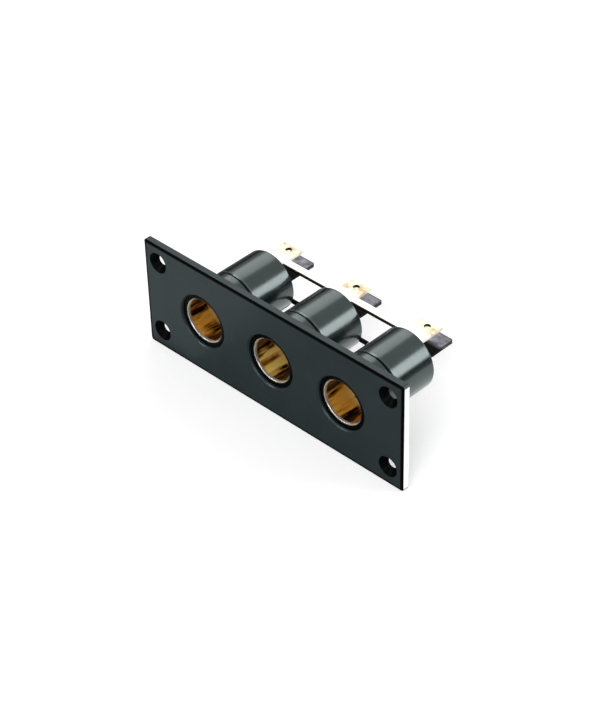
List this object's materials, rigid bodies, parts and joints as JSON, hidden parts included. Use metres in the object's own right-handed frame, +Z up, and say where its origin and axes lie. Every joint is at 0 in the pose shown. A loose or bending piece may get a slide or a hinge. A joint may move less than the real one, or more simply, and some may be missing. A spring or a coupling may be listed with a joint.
{
  "type": "built-in triple socket",
  "caption": "Flush face plate with a row of round brass-lined low-voltage outlets, black round bodies, a bus strip and blade terminals behind.",
  "frame": {"origin": "centre of the face plate's rear face, which is also the centre of its screw holes", "axes": "+X along the plate to the right seen from the front, +Y from the plate to the back, +Z up the plate"},
  "size_m": [0.09, 0.0388, 0.033],
  "materials": {
    "plate_black": "satin black coating, bare at the cut ends",
    "body_black": "satin moulded",
    "contact_brass": "drawn and polished",
    "contact_tinned": "tinned brass, dull",
    "bus_brass": "pale stamped brass",
    "rivet_brass": "plain",
    "insulator": "brown pressed laminate"
  },
  "bodies": {
    "root": {"face_plate": "plate_black", "socket_housing_left": "body_black", "rear_cap_left": "body_black", "outer_contact_left": "contact_brass", "contact_insulator_left": "insulator", "centre_contact_left": "contact_tinned", "socket_housing_centre": "body_black", "rear_cap_centre": "body_black", "outer_contact_centre": "contact_brass", "contact_insulator_centre": "insulator", "centre_contact_centre": "contact_tinned", "socket_housing_right": "body_black", "rear_cap_right": "body_black", "outer_contact_right": "contact_brass", "contact_insulator_right": "insulator", "centre_contact_right": "contact_tinned", "negative_bus_strip": "bus_brass", "positive_link_strip": "contact_tinned", "bus_rivets": "rivet_brass"}
  },
  "joints": []
}
